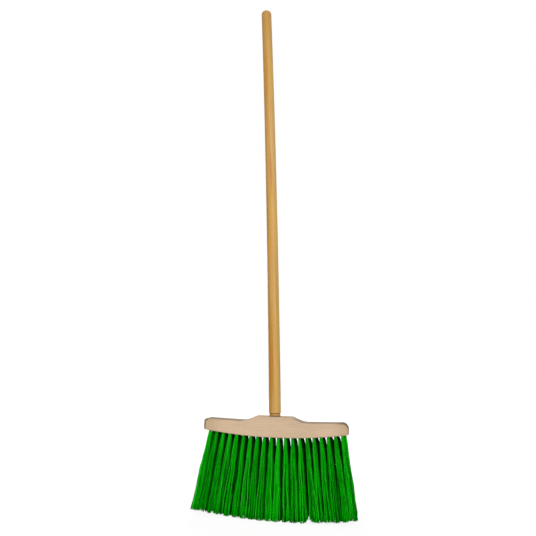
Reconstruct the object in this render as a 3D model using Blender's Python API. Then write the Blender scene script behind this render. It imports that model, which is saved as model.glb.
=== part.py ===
"""A floor broom: a wooden head block, tufts of green plastic bristles and a long round handle.

Metres, +Z up. The broom stands on its bristle tips at Z = 0, with the origin under the middle of
the head. X runs along the head and the head's front face looks towards -Y.
"""

import math
import random

import bmesh
import bpy
from mathutils import Matrix, Vector

# Head block, sawn from a plank to one outline: a flat boss over two wings, an arc underneath.
# The boss reaches further left of the handle than right, and the top's corners are unlike.
BLOCK_LENGTH = 0.295
BLOCK_DEPTH = 0.042
END_HEIGHT = 0.0215
UNDERSIDE_RISE = 0.0109
WING_RISE = 0.0021
BOSS_STEP = 0.0095
BOSS_LEFT_REACH = 0.038
BOSS_RIGHT_REACH = 0.036
BOSS_SHOULDER_WIDTH = 0.032
BOSS_OFFSET = -0.0025
LEFT_CORNER_RADIUS = 0.004
RIGHT_CORNER_RADIUS = 0.0125
LOWER_CORNER_RADIUS = 0.0035
EDGE_ROUNDING = 0.0025

# Handle, a round stick with a turned-down tenon in the boss's blind socket
HANDLE_DIAMETER = 0.025
HANDLE_REACH = 0.9937
HANDLE_DOME = 0.0085
HANDLE_BEND = 0.0113
HANDLE_LEAN = math.radians(1.8)
TENON_SHOULDER = 0.0012
TENON_STANDOFF = 0.0065
TENON_CHAMFER = 0.0015
WOOD_UNDER_SOCKET = 0.0048

# Nail driven through the back of the boss into the tenon
NAIL_DIAMETER = 0.0024
NAIL_POINT_LENGTH = 0.005
NAIL_POINT_DIAMETER = 0.0004
NAIL_HEAD_DIAMETER = 0.0056
NAIL_HEAD_THICKNESS = 0.0012
NAIL_BITE_SHARE = 0.8

# Tufts, in blind holes drilled square to the arc, the outer rows splayed. Every second row stands
# off along the head from its neighbours.
HOLE_DIAMETER = 0.008
HOLE_DEPTH = 0.010
WOOD_BETWEEN_COLUMNS = 0.0062
WOOD_BETWEEN_ROWS = 0.005
WOOD_PAST_LAST_COLUMN = 0.0085
WOOD_OUTSIDE_ROWS = 0.004
ROW_STAGGER = 0.004
ROW_SPLAY = 0.014
ROOT_WEB_THICKNESS = 0.0016
ROOT_WEB_HEIGHT = 0.003

# Bristles
BRISTLE_LENGTH = 0.150
STANDING_CUT = 0.0005
RAGGED_TIPS = 0.003
STRAND_ROOT_DEPTH = 0.002
STRANDS_ROUND_EACH_TUFT = 5
STRAND_SIDES = 3
RAGGED_SEED = 11

# Shares of the plug's radius at the root, and of half the pitch at the bend and at the tips
ROOT_RING_SHARE = 0.64
ROOT_STRAND_SHARE = 0.30
BEND_DEPTH_SHARE = 0.22
BEND_RING_SHARE = 0.68
BEND_STRAND_SHARE = 0.20
TIP_RING_SHARE = 0.68
TIP_STRAND_SHARE = 0.20
TIP_WANDER_SHARE = 0.07

# Clearance between touching pieces, and how far a cutter runs past what it cuts
FIT_GAP = 0.0003
CUT_OVERRUN = 0.002

HANDLE_SIDES = 32
HANDLE_LENGTHS = 9
DOME_RINGS = 5
SHOULDER_STEPS = 8
ARC_STEPS = 24
CORNER_STEPS = 4
EDGE_STEPS = 3
HOLE_SIDES = 12
PLUG_SIDES = 6
NAIL_SIDES = 16
SMOOTH_ANGLE = math.radians(40)


# Places worked out from the sizes
half_length = BLOCK_LENGTH / 2
arc_radius = (half_length**2 + UNDERSIDE_RISE**2) / (2 * UNDERSIDE_RISE)
boss_height = END_HEIGHT + UNDERSIDE_RISE - WING_RISE + BOSS_STEP
underside_z = BRISTLE_LENGTH - STANDING_CUT
boss_top_z = underside_z + boss_height
tenon_radius = HANDLE_DIAMETER / 2 - TENON_SHOULDER
socket_depth = boss_height - HOLE_DEPTH - WOOD_UNDER_SOCKET
nail_length = BLOCK_DEPTH / 2 + tenon_radius * (2 * NAIL_BITE_SHARE - 1)
hole_radius = HOLE_DIAMETER / 2
plug_radius = hole_radius - FIT_GAP
outer_row_y = BLOCK_DEPTH / 2 - WOOD_OUTSIDE_ROWS - hole_radius
row_count = 1 + max(1, round(2 * outer_row_y / (HOLE_DIAMETER + WOOD_BETWEEN_ROWS)))
row_pitch = 2 * outer_row_y / (row_count - 1)
last_column_angle = math.asin((half_length - WOOD_PAST_LAST_COLUMN - hole_radius) / arc_radius)
column_count = 1 + round(2 * last_column_angle * arc_radius / (HOLE_DIAMETER + WOOD_BETWEEN_COLUMNS))
column_angle = 2 * last_column_angle / (column_count - 1)


def clear_scene():
    for old in list(bpy.data.objects):
        bpy.data.objects.remove(old, do_unlink=True)


def material(name, color, roughness, metallic=0.0):
    made = bpy.data.materials.new(name)
    made.use_nodes = True
    shader = made.node_tree.nodes["Principled BSDF"]
    shader.inputs["Base Color"].default_value = (*color, 1.0)
    shader.inputs["Roughness"].default_value = roughness
    shader.inputs["Metallic"].default_value = metallic
    return made


def add_object(name, mesh, matrix, finish=None, parent=None):
    """Put a mesh in the scene at a world matrix. Without a finish it is a cutter or a helper."""
    added = bpy.data.objects.new(name, mesh)
    bpy.context.scene.collection.objects.link(added)
    added.parent = parent
    added.matrix_world = matrix
    if finish is None:
        added.hide_render = True
        added.display_type = "WIRE"
    else:
        mesh.materials.append(finish)
        mesh.shade_smooth()
        mesh.set_sharp_from_angle(angle=SMOOTH_ANGLE)
    return added


def boolean(target, cutters, operation):
    """Cut or join an object with one other object, or with all those in a collection."""
    modifier = target.modifiers.new(operation.lower(), "BOOLEAN")
    modifier.operation = operation
    modifier.solver = "EXACT"
    if isinstance(cutters, bpy.types.Collection):
        modifier.operand_type = "COLLECTION"
        modifier.collection = cutters
    else:
        modifier.object = cutters


def evaluated_mesh(source, name):
    """The mesh of an object with its modifiers applied."""
    graph = bpy.context.evaluated_depsgraph_get()
    made = bpy.data.meshes.new_from_object(source.evaluated_get(graph))
    made.name = name
    return made


def add_rings(bm, rings, sides):
    """Join circles, each given as its centre and radius, into one closed skin from first to last."""
    below = None
    for centre, radius in rings:
        placed = Matrix.Translation(centre)
        ring = bmesh.ops.create_circle(bm, segments=sides, radius=radius, matrix=placed)["verts"]
        if below:
            for corner in range(sides):
                bm.faces.new((below[corner - 1], below[corner], ring[corner], ring[corner - 1]))
        else:
            bm.faces.new(ring)
        below = ring
    bm.faces.new(below)


def solid_mesh(name, bm):
    """Turn the faces outwards and keep them as a mesh."""
    bmesh.ops.recalc_face_normals(bm, faces=bm.faces)
    mesh = bpy.data.meshes.new(name)
    bm.to_mesh(mesh)
    bm.free()
    return mesh


def turned_mesh(name, rings, sides):
    bm = bmesh.new()
    add_rings(bm, rings, sides)
    return solid_mesh(name, bm)


def rod_rings(bottom, top, radius):
    return [(Vector((0, 0, bottom)), radius), (Vector((0, 0, top)), radius)]


def top_height(x):
    """Height of the block's top over its underside's middle: boss, hollow shoulder, then wing."""
    flat_reach = BOSS_LEFT_REACH if x < BOSS_OFFSET else BOSS_RIGHT_REACH
    past_flat = abs(x - BOSS_OFFSET) - flat_reach
    past_shoulder = past_flat - BOSS_SHOULDER_WIDTH
    if past_flat <= 0:
        return boss_height
    if past_shoulder >= 0:
        wing_end = half_length + (BOSS_OFFSET if x < BOSS_OFFSET else -BOSS_OFFSET)
        wing_length = wing_end - flat_reach - BOSS_SHOULDER_WIDTH
        return boss_height - BOSS_STEP + WING_RISE * past_shoulder / wing_length
    turn = math.pi / 2 * past_flat / BOSS_SHOULDER_WIDTH
    return boss_height - BOSS_STEP * math.sin(turn)


def block_outline():
    """The sawn outline seen from the front, anticlockwise, with its four corners still sharp."""
    half_angle = math.asin(half_length / arc_radius)
    points = []
    for step in range(ARC_STEPS + 1):
        angle = half_angle * (2 * step / ARC_STEPS - 1)
        points.append((arc_radius * math.sin(angle), arc_radius * (1 - math.cos(angle))))
    shoulder = [BOSS_SHOULDER_WIDTH * step / SHOULDER_STEPS for step in range(SHOULDER_STEPS + 1)]
    right = [BOSS_OFFSET + BOSS_RIGHT_REACH + past_flat for past_flat in reversed(shoulder)]
    left = [BOSS_OFFSET - BOSS_LEFT_REACH - past_flat for past_flat in shoulder]
    top = [half_length, *right, *left, -half_length]
    return points + [(x, top_height(x)) for x in top]


def rounded_corner(bm, x, z, radius):
    corner = min(bm.verts, key=lambda vertex: (vertex.co.x - x) ** 2 + (vertex.co.z - z) ** 2)
    bmesh.ops.bevel(
        bm,
        geom=[corner],
        offset=radius,
        segments=CORNER_STEPS,
        profile=0.5,
        affect="VERTICES",
        clamp_overlap=True,
    )


def block_mesh():
    bm = bmesh.new()
    front = [bm.verts.new((x, -BLOCK_DEPTH / 2, z)) for x, z in block_outline()]
    bm.faces.new(front)
    for side, top_radius in ((-half_length, LEFT_CORNER_RADIUS), (half_length, RIGHT_CORNER_RADIUS)):
        rounded_corner(bm, side, UNDERSIDE_RISE, LOWER_CORNER_RADIUS)
        rounded_corner(bm, side, top_height(side), top_radius)
    grown = bmesh.ops.extrude_face_region(bm, geom=list(bm.faces))["geom"]
    back = [part for part in grown if isinstance(part, bmesh.types.BMVert)]
    bmesh.ops.translate(bm, vec=(0, BLOCK_DEPTH, 0), verts=back)
    return solid_mesh("head_block", bm)


def handle_matrix():
    """The tenon's axis is local Z, and local zero is where that axis leaves the boss."""
    place = Matrix.Translation((BOSS_OFFSET, 0, boss_top_z))
    return place @ Matrix.Rotation(-HANDLE_LEAN, 4, "Y")


def handle_centre(height):
    """A point of the handle's centre line. Above the boss the stick bends slowly to one side."""
    above = max(height, 0)
    return Vector((-HANDLE_BEND * (above / HANDLE_REACH) ** 2, 0, height))


def handle_rings():
    radius = HANDLE_DIAMETER / 2
    tenon_end = FIT_GAP - socket_depth
    dome_foot = HANDLE_REACH - HANDLE_DOME
    rings = [
        (tenon_end, tenon_radius - TENON_CHAMFER),
        (tenon_end + TENON_CHAMFER, tenon_radius),
        (TENON_STANDOFF, tenon_radius),
        (TENON_STANDOFF, radius),
    ]
    for step in range(1, HANDLE_LENGTHS + 1):
        rings.append((TENON_STANDOFF + (dome_foot - TENON_STANDOFF) * step / HANDLE_LENGTHS, radius))
    for step in range(1, DOME_RINGS + 1):
        angle = math.pi / 2 * step / (DOME_RINGS + 1)
        rings.append((dome_foot + HANDLE_DOME * math.sin(angle), radius * math.cos(angle)))
    return [(handle_centre(height), ring_radius) for height, ring_radius in rings]


def nail_rings(clearance):
    """The nail along local Z, its point downwards and the outer face of its head at zero."""
    shank = NAIL_DIAMETER / 2 + clearance
    head = NAIL_HEAD_DIAMETER / 2 + clearance
    under_head = -NAIL_HEAD_THICKNESS - clearance
    rings = [
        (-nail_length - clearance, NAIL_POINT_DIAMETER / 2 + clearance),
        (-nail_length - clearance + NAIL_POINT_LENGTH, shank),
        (under_head, shank),
        (under_head, head),
        (CUT_OVERRUN if clearance else 0, head),
    ]
    return [(Vector((0, 0, height)), radius) for height, radius in rings]


def nail_matrix():
    """The nail lies level, from the block's back face towards the middle of the tenon's seat."""
    on_axis = handle_matrix() @ Vector((0, 0, -socket_depth / 2))
    place = Matrix.Translation((on_axis.x, BLOCK_DEPTH / 2, on_axis.z))
    return place @ Matrix.Rotation(-math.pi / 2, 4, "X")


def column_matrix(column):
    """Local zero is on the block's underside, and local Z points to the centre of the arc."""
    angle = column_angle * column - last_column_angle
    centre = Matrix.Translation((0, 0, underside_z + arc_radius))
    return centre @ Matrix.Rotation(-angle, 4, "Y") @ Matrix.Translation((0, 0, -arc_radius))


def row_places():
    """Each row's place at the underside, and how far the row moves outwards per unit of depth."""
    rows = []
    for row in range(row_count):
        y = row_pitch * row - outer_row_y
        rows.append((Vector((ROW_STAGGER * (row % 2), y)), ROW_SPLAY * y / outer_row_y / BRISTLE_LENGTH))
    return rows


def half_pitches(depth):
    """Half the way from one tuft to the next, along the head and across it, at a depth."""
    along = column_angle * (arc_radius + depth) / 2
    across = row_pitch * (1 + ROW_SPLAY / outer_row_y * depth / BRISTLE_LENGTH) / 2
    return along, across


def root_mesh(name, clearance, sides):
    """A column's root: a plug for each hole and the webs that join them inside the block.

    With a clearance it is the cutter for the holes, run past the underside.
    """
    top = HOLE_DEPTH - FIT_GAP + clearance
    bottom = -CUT_OVERRUN if clearance else 0
    plug = turned_mesh(name, rod_rings(bottom, top, plug_radius + clearance), sides)
    flat_to_web = Matrix.Rotation(math.pi / sides, 4, "Z")
    pieces = []
    for place, splay in row_places():
        turn = Matrix.Rotation(math.atan(splay), 4, "X") @ flat_to_web
        pieces.append(add_object(name, plug, Matrix.Translation((*place, 0)) @ turn))
    for near, far in zip(row_places(), row_places()[1:]):
        pieces.append(add_object(name, web_mesh(name, near, far, clearance), Matrix.Identity(4)))
    for piece in pieces[1:]:
        boolean(pieces[0], piece, "UNION")
    joined = evaluated_mesh(pieces[0], name)
    joined.transform(pieces[0].matrix_world)
    for helper in pieces:
        bpy.data.objects.remove(helper)
    return joined


def web_mesh(name, near, far, clearance):
    """The bar from one plug's axis to the next, halfway up the holes."""
    middle = HOLE_DEPTH / 2
    ends = [place - Vector((0, splay * middle)) for place, splay in (near, far)]
    run = ends[1] - ends[0]
    bm = bmesh.new()
    bmesh.ops.create_cube(bm, size=1)
    size = (ROOT_WEB_THICKNESS + 2 * clearance, run.length, ROOT_WEB_HEIGHT + 2 * clearance)
    bmesh.ops.scale(bm, vec=size, verts=bm.verts)
    turn = Matrix.Rotation(-math.atan2(run.x, run.y), 4, "Z")
    bm.transform(Matrix.Translation((*(ends[0] + run / 2), middle)) @ turn)
    return solid_mesh(name, bm)


def strand_rings(aim, wander, shorter, place, splay):
    """One strand, from inside its plug to its tip.

    Round each tuft of a splayed row the strands bend outwards below the block. The others,
    inside those, run straight. The tips of all rows end in line.
    """
    root = aim * ROOT_RING_SHARE * plug_radius
    root_radius = ROOT_STRAND_SHARE * plug_radius
    tip = aim * TIP_RING_SHARE + wander
    stations = [(root, -STRAND_ROOT_DEPTH, root_radius)]
    if aim.length > 0 and splay != 0:
        bend_depth = BRISTLE_LENGTH * BEND_DEPTH_SHARE
        bend_half_x, bend_half_y = half_pitches(bend_depth)
        bend = aim * BEND_RING_SHARE
        bend = Vector((bend.x * bend_half_x, bend.y * bend_half_y))
        stations.append((bend, bend_depth, BEND_STRAND_SHARE * bend_half_x))
    tip_half_x, tip_half_y = half_pitches(BRISTLE_LENGTH)
    tip = Vector((tip.x * tip_half_x, tip.y * tip_half_y))
    stations.append((tip, BRISTLE_LENGTH - shorter, TIP_STRAND_SHARE * tip_half_x))
    rings = []
    for across, depth, radius in stations:
        x = place.x * (1 - depth / BRISTLE_LENGTH) + across.x
        rings.append((Vector((x, place.y + splay * depth + across.y, -depth)), radius))
    return rings


def strand_mesh(column, place):
    """All strands of one column. No strand leaves its own wedge of the fan.

    The head's two ends mirror each other, and so do its front and back, which keeps the
    tips' outline centred. Tips that would reach below the floor are cut flat on it.
    """
    bm = bmesh.new()
    for row, (stand, splay) in enumerate(row_places()):
        twin_column = min(column, column_count - 1 - column)
        twin_row = min(row, row_count - 1 - row)
        draw = random.Random(RAGGED_SEED + row_count * twin_column + twin_row)
        mirror = Vector((1 if column == twin_column else -1, 1 if row == twin_row else -1))
        turn = draw.uniform(0, math.tau)
        for strand in range(STRANDS_ROUND_EACH_TUFT + 1):
            angle = turn + math.tau * strand / STRANDS_ROUND_EACH_TUFT
            aim = Vector((math.cos(angle), math.sin(angle))) if strand else Vector((0, 0))
            wander = Vector((draw.uniform(-1, 1), draw.uniform(-1, 1))) * TIP_WANDER_SHARE
            shorter = RAGGED_TIPS * max(0, draw.uniform(-1, 1))
            rings = strand_rings(aim * mirror, wander * mirror, shorter, stand, splay)
            add_rings(bm, rings, STRAND_SIDES)
    to_local = place.inverted()
    for vertex in bm.verts:
        on_floor = place @ vertex.co
        on_floor.z = max(on_floor.z, 0)
        vertex.co = to_local @ on_floor
    return solid_mesh("strands", bm)


def build():
    clear_scene()
    block_wood = material("block_wood", (0.61, 0.45, 0.31), 0.6)
    handle_wood = material("handle_wood", (0.56, 0.35, 0.12), 0.45)
    steel = material("nail_steel", (0.55, 0.55, 0.56), 0.35, 1.0)
    green = material("bristle_green", (0.004, 0.32, 0.006), 0.4)

    block = add_object("head_block", block_mesh(), Matrix.Translation((0, 0, underside_z)), block_wood)
    edge = block.modifiers.new("edge_rounding", "BEVEL")
    edge.width = EDGE_ROUNDING
    edge.segments = EDGE_STEPS
    edge.limit_method = "ANGLE"
    edge.angle_limit = SMOOTH_ANGLE

    socket_rings = rod_rings(-socket_depth, CUT_OVERRUN, tenon_radius + FIT_GAP)
    socket = turned_mesh("socket_cutter", socket_rings, HANDLE_SIDES)
    nail_bore = turned_mesh("nail_bore_cutter", nail_rings(FIT_GAP), NAIL_SIDES)
    holes = root_mesh("hole_cutter", FIT_GAP, HOLE_SIDES)
    cutters = bpy.data.collections.new("block_cutters")
    cuts = [("socket_cutter", socket, handle_matrix()), ("nail_bore_cutter", nail_bore, nail_matrix())]
    cuts += [(f"hole_cutter_{n + 1:02d}", holes, column_matrix(n)) for n in range(column_count)]
    for name, mesh, place in cuts:
        cutters.objects.link(add_object(name, mesh, place, parent=block))
    boolean(block, cutters, "DIFFERENCE")

    handle_mesh = turned_mesh("handle", handle_rings(), HANDLE_SIDES)
    handle = add_object("handle", handle_mesh, handle_matrix(), handle_wood, block)
    boolean(handle, bpy.data.objects["nail_bore_cutter"], "DIFFERENCE")
    nail_mesh = turned_mesh("handle_nail", nail_rings(0), NAIL_SIDES)
    add_object("handle_nail", nail_mesh, nail_matrix(), steel, block)

    root = root_mesh("tuft_root", 0, PLUG_SIDES)
    for number in range(column_count):
        place = column_matrix(number)
        name = f"tuft_column_{number + 1:02d}"
        column = add_object(name, root.copy(), place, green, block)
        strands = add_object(f"strands_{number + 1:02d}", strand_mesh(number, place), place, parent=block)
        boolean(column, strands, "UNION")


build()
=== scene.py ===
"""The looks of a floor broom: a bare beech head, a varnished stick and green filament tufts.

Metres, in the frame's own axes: +Z up, X along the head, the head's front face towards -Y.
Colours of three numbers are from 0 to 255, as they look on screen, and those of four are linear.
"""

import math

import bmesh
import bpy
import numpy as np
from mathutils import Matrix, Vector


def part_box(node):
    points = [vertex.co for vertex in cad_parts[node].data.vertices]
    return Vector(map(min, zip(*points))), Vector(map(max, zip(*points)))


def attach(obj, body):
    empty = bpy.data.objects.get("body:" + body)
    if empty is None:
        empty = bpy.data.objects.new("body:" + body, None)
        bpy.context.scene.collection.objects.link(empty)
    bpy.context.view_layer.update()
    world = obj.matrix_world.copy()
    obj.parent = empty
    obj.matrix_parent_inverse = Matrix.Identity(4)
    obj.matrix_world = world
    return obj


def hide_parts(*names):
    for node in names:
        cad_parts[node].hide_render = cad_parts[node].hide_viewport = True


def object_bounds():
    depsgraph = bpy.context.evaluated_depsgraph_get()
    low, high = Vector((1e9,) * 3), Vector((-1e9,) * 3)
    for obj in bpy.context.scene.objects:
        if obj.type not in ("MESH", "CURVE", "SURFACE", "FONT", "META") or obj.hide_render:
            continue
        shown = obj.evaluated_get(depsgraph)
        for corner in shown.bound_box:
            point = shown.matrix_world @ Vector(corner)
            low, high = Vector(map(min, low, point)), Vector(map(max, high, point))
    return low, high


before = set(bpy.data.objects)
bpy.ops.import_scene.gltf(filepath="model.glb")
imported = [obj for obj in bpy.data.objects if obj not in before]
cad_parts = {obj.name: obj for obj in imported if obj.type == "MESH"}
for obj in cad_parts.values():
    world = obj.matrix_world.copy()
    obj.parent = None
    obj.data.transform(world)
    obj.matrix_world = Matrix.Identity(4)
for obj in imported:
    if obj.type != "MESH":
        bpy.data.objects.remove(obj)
cad_low, cad_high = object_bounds()
block_low, block_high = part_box("head_block")

# Head block: the sawn outline's sizes. They are the construction's, but for the rounder left top
# corner.
UNDERSIDE_RISE = 0.0109
WING_RISE = 0.0021
BOSS_STEP = 0.0095
BOSS_LEFT_REACH = 0.038
BOSS_RIGHT_REACH = 0.036
BOSS_SHOULDER_WIDTH = 0.032
BOSS_OFFSET = -0.0025
LEFT_CORNER_RADIUS = 0.0055
RIGHT_CORNER_RADIUS = 0.0125
LOWER_CORNER_RADIUS = 0.0035
EDGE_ROUNDING = 0.0025
ARC_STEPS = 72
SHOULDER_STEPS = 24
CORNER_SEGMENTS = 10
EDGE_SEGMENTS = 6

# Range that most of a noise's values lie in
NOISE_RANGE = (0.3, 0.7)

# Block's wood: noises, each with its cycles per metre along X, Y and Z and its detail, growth
# rings, then how high the fibres stand and how rough the wood is from between them to on them
BEECH_CLOUD_NOISE = ((14, 60, 60), 3)
BEECH_FIBRE_NOISE = ((45, 900, 900), 3)
BEECH_FLECK_NOISE = ((260, 1900, 1900), 1)
BEECH_WARP_NOISE = ((9, 30, 30), 2)
BEECH_WARP_TURNS = 2.2
BEECH_PITH = (0, 0.03, -0.11)
BEECH_RING_SPACING = 0.0042
BEECH_FIBRE_HEIGHT = 0.00005
BEECH_ROUGHNESS = (0.52, 0.66)

# Block's colour, and the layers over it: a colour, the values of its pattern where it begins and
# is full, and its share then. The layer at the ends goes by the distance from the end.
BEECH_COLOUR = (201, 174, 147)
BEECH_CLOUDS = ((215, 187, 157), NOISE_RANGE, 1.0)
BEECH_RINGS = ((193, 163, 131), (0.2, 1.0), 0.35)
BEECH_FIBRES = ((222, 196, 165), (0.35, 0.65), 0.30)
BEECH_FLECKS = ((150, 112, 78), (0.66, 0.74), 0.35)
BEECH_ENDS = ((184, 153, 116), (0.040, 0.004), 0.45)

# Painted shading on the block's top faces: its colour at the wing's end, painted shade, and at the
# boss, painted light, its share over the wood's, and the parts of the normal, across and upwards,
# between which a surface comes to take it
WING_TOP_SHADE_COLOUR = (190, 176, 160)
BOSS_TOP_LIGHT_COLOUR = (250, 226, 200)
TOP_SHADING_SHARE = 0.5
OFF_FACE_NORMAL = (0.80, 0.40)
UPWARD_NORMAL = (0.4, 0.8)

# Painted shade on the rim round each end, where the rounded edge turns away from the light: how far
# in from the outline it begins and is full, and its share then
RIM_SHADE_COLOUR = (126, 108, 86)
LEFT_RIM_SHADE = (0.0055, 0.0026, 0.9)
RIGHT_RIM_SHADE = (0.0034, 0.0008, 0.62)

# Handle and its tenon. The barrel is turned a little unevenly, in two waves in radians per metre.
HANDLE_DIAMETER = 0.025
HANDLE_REACH = 0.9937
HANDLE_DOME = 0.0085
HANDLE_DOME_RISE = 0.0082
HANDLE_BEND = 0.0113
HANDLE_LEAN = math.radians(1.8)
HANDLE_SIDES = 72
BARREL_STEPS = 96
DOME_STEPS = 16
TENON_DIAMETER = 0.0226
TENON_STANDOFF = 0.0065
TENON_CHAMFER = 0.0015
SOCKET_DEPTH = 0.025
SOCKET_SIDES = 64
SHOULDER_ROUNDING = 0.0004
SHOULDER_ROUNDING_STEPS = 4
SHOULDER_GROOVE = 0.0006
SHOULDER_GROOVE_WIDTH = 0.0012
TURNING_UNEVENNESS = 0.00012
TURNING_WAVES = (31, 83)

# Handle's wood, in the same terms as the block's
GOLDEN_CLOUD_NOISE = ((9, 9, 3.4), 2)
GOLDEN_STREAK_NOISE = ((95, 95, 2.6), 3)
GOLDEN_FIBRE_NOISE = ((800, 800, 14), 2)
GOLDEN_WARP_NOISE = ((20, 20, 2.4), 2)
GOLDEN_WARP_TURNS = 3.2
GOLDEN_PITH = (0.045, 0.03, 0)
GOLDEN_RING_SPACING = 0.0046
GOLDEN_FIBRE_HEIGHT = 0.00004

# Handle's colours: its left side's, darker as painted shade, and its right side's, paler as painted
# light and sheen, with the shares of the radius between which the one becomes the other, then the
# layers over them
GOLDEN_SHADED_LEFT_COLOUR = (171, 124, 40)
GOLDEN_LIT_RIGHT_COLOUR = (219, 179, 98)
GOLDEN_PAINTED_LIGHT_SHARES = (-1, 1.1)
GOLDEN_CLOUDS = ((204, 158, 104), (0.42, 0.62), 0.35)
GOLDEN_RINGS = ((186, 134, 64), (0.3, 1.0), 0.3)
GOLDEN_DARK_STREAKS = ((180, 118, 46), (0.52, 0.72), 0.5)
GOLDEN_PALE_STREAKS = ((214, 170, 104), (0.46, 0.28), 0.4)
GOLDEN_FIBRES = ((150, 104, 52), (0.55, 0.8), 0.3)

# Painted shade lines round the tenon, the shadow in the groove under the shoulder and the contact
# shadow at the boss: height above the boss and half the line's width, then how many times narrower
# each line is where it is full
TENON_SHADE_LINES = ((0.0059, 0.0013), (0.0010, 0.0018))
TENON_SHADE_SOFTNESS = 3
TENON_SHADE_COLOUR = (84, 54, 22)
TENON_SHADE_SHARE = 0.8

# Long streaks in the stick: angle round it from the front and half of its reach in radians,
# height above the boss and half of its reach, share of the streak's colour, that colour. A streak
# begins and is full at two shares of those reaches.
HANDLE_STREAK_SHARES = (1.0, 0.2)
HANDLE_STREAKS = (
    (0.17, 0.32, 0.545, 0.085, 0.55, (176, 112, 66)),
    (-0.35, 0.55, 0.355, 0.055, 0.60, (204, 140, 52)),
    (-0.45, 0.70, 0.115, 0.150, 0.95, (178, 116, 6)),
    (0.10, 3.00, 1.020, 0.190, 0.45, (172, 120, 52)),
    (-0.30, 0.45, 0.800, 0.090, 0.40, (182, 128, 58)),
    (0.60, 0.60, 0.610, 0.100, 0.45, (214, 174, 122)),
    (0.45, 0.50, 0.420, 0.120, 0.35, (216, 166, 92)),
)

# Nail in the back of the boss
NAIL_DIAMETER = 0.0024
NAIL_LENGTH = 0.02778
NAIL_POINT_LENGTH = 0.005
NAIL_POINT_DIAMETER = 0.0004
NAIL_HEAD_DIAMETER = 0.0056
NAIL_HEAD_THICKNESS = 0.0012
NAIL_HEAD_DOME = 0.0003
NAIL_HEAD_STEPS = 6
NAIL_SIDES = 40
NAIL_BORE_SIDES = 32

# Nail's steel: its scratches, and how rough it is from between them to on them
STEEL_COLOUR = (0.55, 0.55, 0.56, 1.0)
SCRATCH_NOISE = ((900, 900, 2600), 3)
SCRATCH_HEIGHT = 0.00002
STEEL_ROUGHNESS = (0.28, 0.5)

# Tufts in their drilled holes. The middle row stands a little to the right of the other two.
COLUMN_COUNT = 20
ROW_NAMES = ("front", "middle", "back")
FRONT_ROW = 0
MIDDLE_ROW = 1
HOLE_DIAMETER = 0.008
HOLE_DEPTH = 0.010
HOLE_SIDES = 24
OUTER_ROW_Y = 0.013
LAST_HOLE_TO_END = 0.0125
MIDDLE_ROW_SHIFT = 0.004
ROW_SPLAY = 0.014

# Filaments: how many each row's tufts have, their sizes and by what share they are drawn thicker
# at their tips, how far up its hole each begins, and the shares of the bristle where it can bend
FILAMENT_SEED = 12
FILAMENTS_PER_TUFT = (116, 88, 96)
FILAMENT_SIDES = 3
FILAMENT_DIAMETER = 0.00072
TIP_WIDENING = 0.5
BRISTLE_LENGTH = 0.150
ROOT_DEPTH = 0.008
STATION_SHARES = (0, 0.05, 0.12, 0.22, 0.34, 0.48, 0.62, 0.76, 0.89, 1)

# Roots: how tightly they fill their hole, in mid-head and at the head's ends, and how far they are
# shaken in a hole of radius 1
ROOT_PACKINGS = (0.74, 0.86)
ROOT_SHAKE = 0.06

# Flare: the power of the way down with which each row's tufts spread, how much less it is behind
# the front row at the head's ends, where they spread quicker, and the power on the end tufts'
# outer side
FLARE_POWERS = (0.80, 0.60, 0.62)
END_QUICKER_FLARE = 0.18
END_FLARE_POWER = 0.85

# Tips: how far a tuft reaches, as a share of half the way to its neighbour, along the head in each
# row and across it, how far where it has no neighbour, on the head's left and right and on its
# front and back, and how far the round bunch goes towards a square
TIP_REACH_ALONG = (1.16, 1.28, 1.28)
TIP_REACH_ACROSS = 1.12
END_REACH_ALONG = (0.86, 0.76)
END_REACH_ACROSS = (0.67, 0.67)
SQUARENESS = 0.9

# How tufts differ: the range of their reach, how far they lean along the head at random, and how
# far the middle row's lean at the right end
TUFT_REACH_RANGE = (0.94, 1.12)
TUFT_LEAN = 0.0010
MIDDLE_ROW_END_LEAN = 0.006

# Parting: after which column it lies, how far and over how many columns the tufts lean with it,
# half its width at the tips, and how far beside it and how high its edges are worn back
PARTING_AFTER = 14
PARTING_LEAN = 0.0055
PARTING_LEAN_COLUMNS = 3
PARTING_HALF_WIDTH = 0.0016
PARTING_REACH = 0.0055
PARTING_RISE = 0.007

# Clumps that a tuft's filaments fall into: the range of how far they are drawn to their leader,
# and how far leaders and single tips stray
CLUMP_COUNT = 14
CLUMP_PULL_SHARES = (0.10, 0.45)
CLUMP_DRIFT = 0.0010
STRAY_TIPS = 0.0008

# Waves of single filaments and of clumps, the range of shares that their length takes, and how
# quickly they grow on the way down, where 3 means to their height in a third of it
WAVE_HEIGHT = 0.00035
WAVE_LENGTH = 0.042
CLUMP_WAVE_HEIGHT = 0.0008
CLUMP_WAVE_LENGTH = 0.085
WAVE_LENGTH_SHARES = (0.75, 1.3)
WAVE_ONSET = 3

# How much shorter tips are cut: by how much at most for a filament, a clump and a column, drawn at
# random, with the powers that skew the filaments' draw, and then at the two sides of each tuft
RAGGED_TIPS = 0.0003
RAGGED_TIP_SKEW = (1.2, 3.0)
CLUMP_RAGGED_TIPS = 0.0004
COLUMN_RAGGED_TIPS = 0.0014
TIP_SCALLOP = 0.0016

# Filaments' tones from 0 to 1: their mean, the spread of filaments and of clumps about it, the
# plastic's colours at the tones 0, MIDDLE_GREEN_TONE and 1, and its colour deep in the shade
FILAMENT_TONE = 0.45
TONE_SPREAD = 0.14
MIDDLE_GREEN_TONE = 0.6
GREENS = ((0, 156, 0), (0, 210, 2), (48, 224, 42))
SHADED_GREEN = (0, 42, 4)

# Pale filaments, which are painted highlights: how many there are, of tone 1, and what is added to
# their shade
HIGHLIGHT_FILAMENT_SHARE = 0.06
HIGHLIGHT_FILAMENT_SHADE = -0.5

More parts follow.
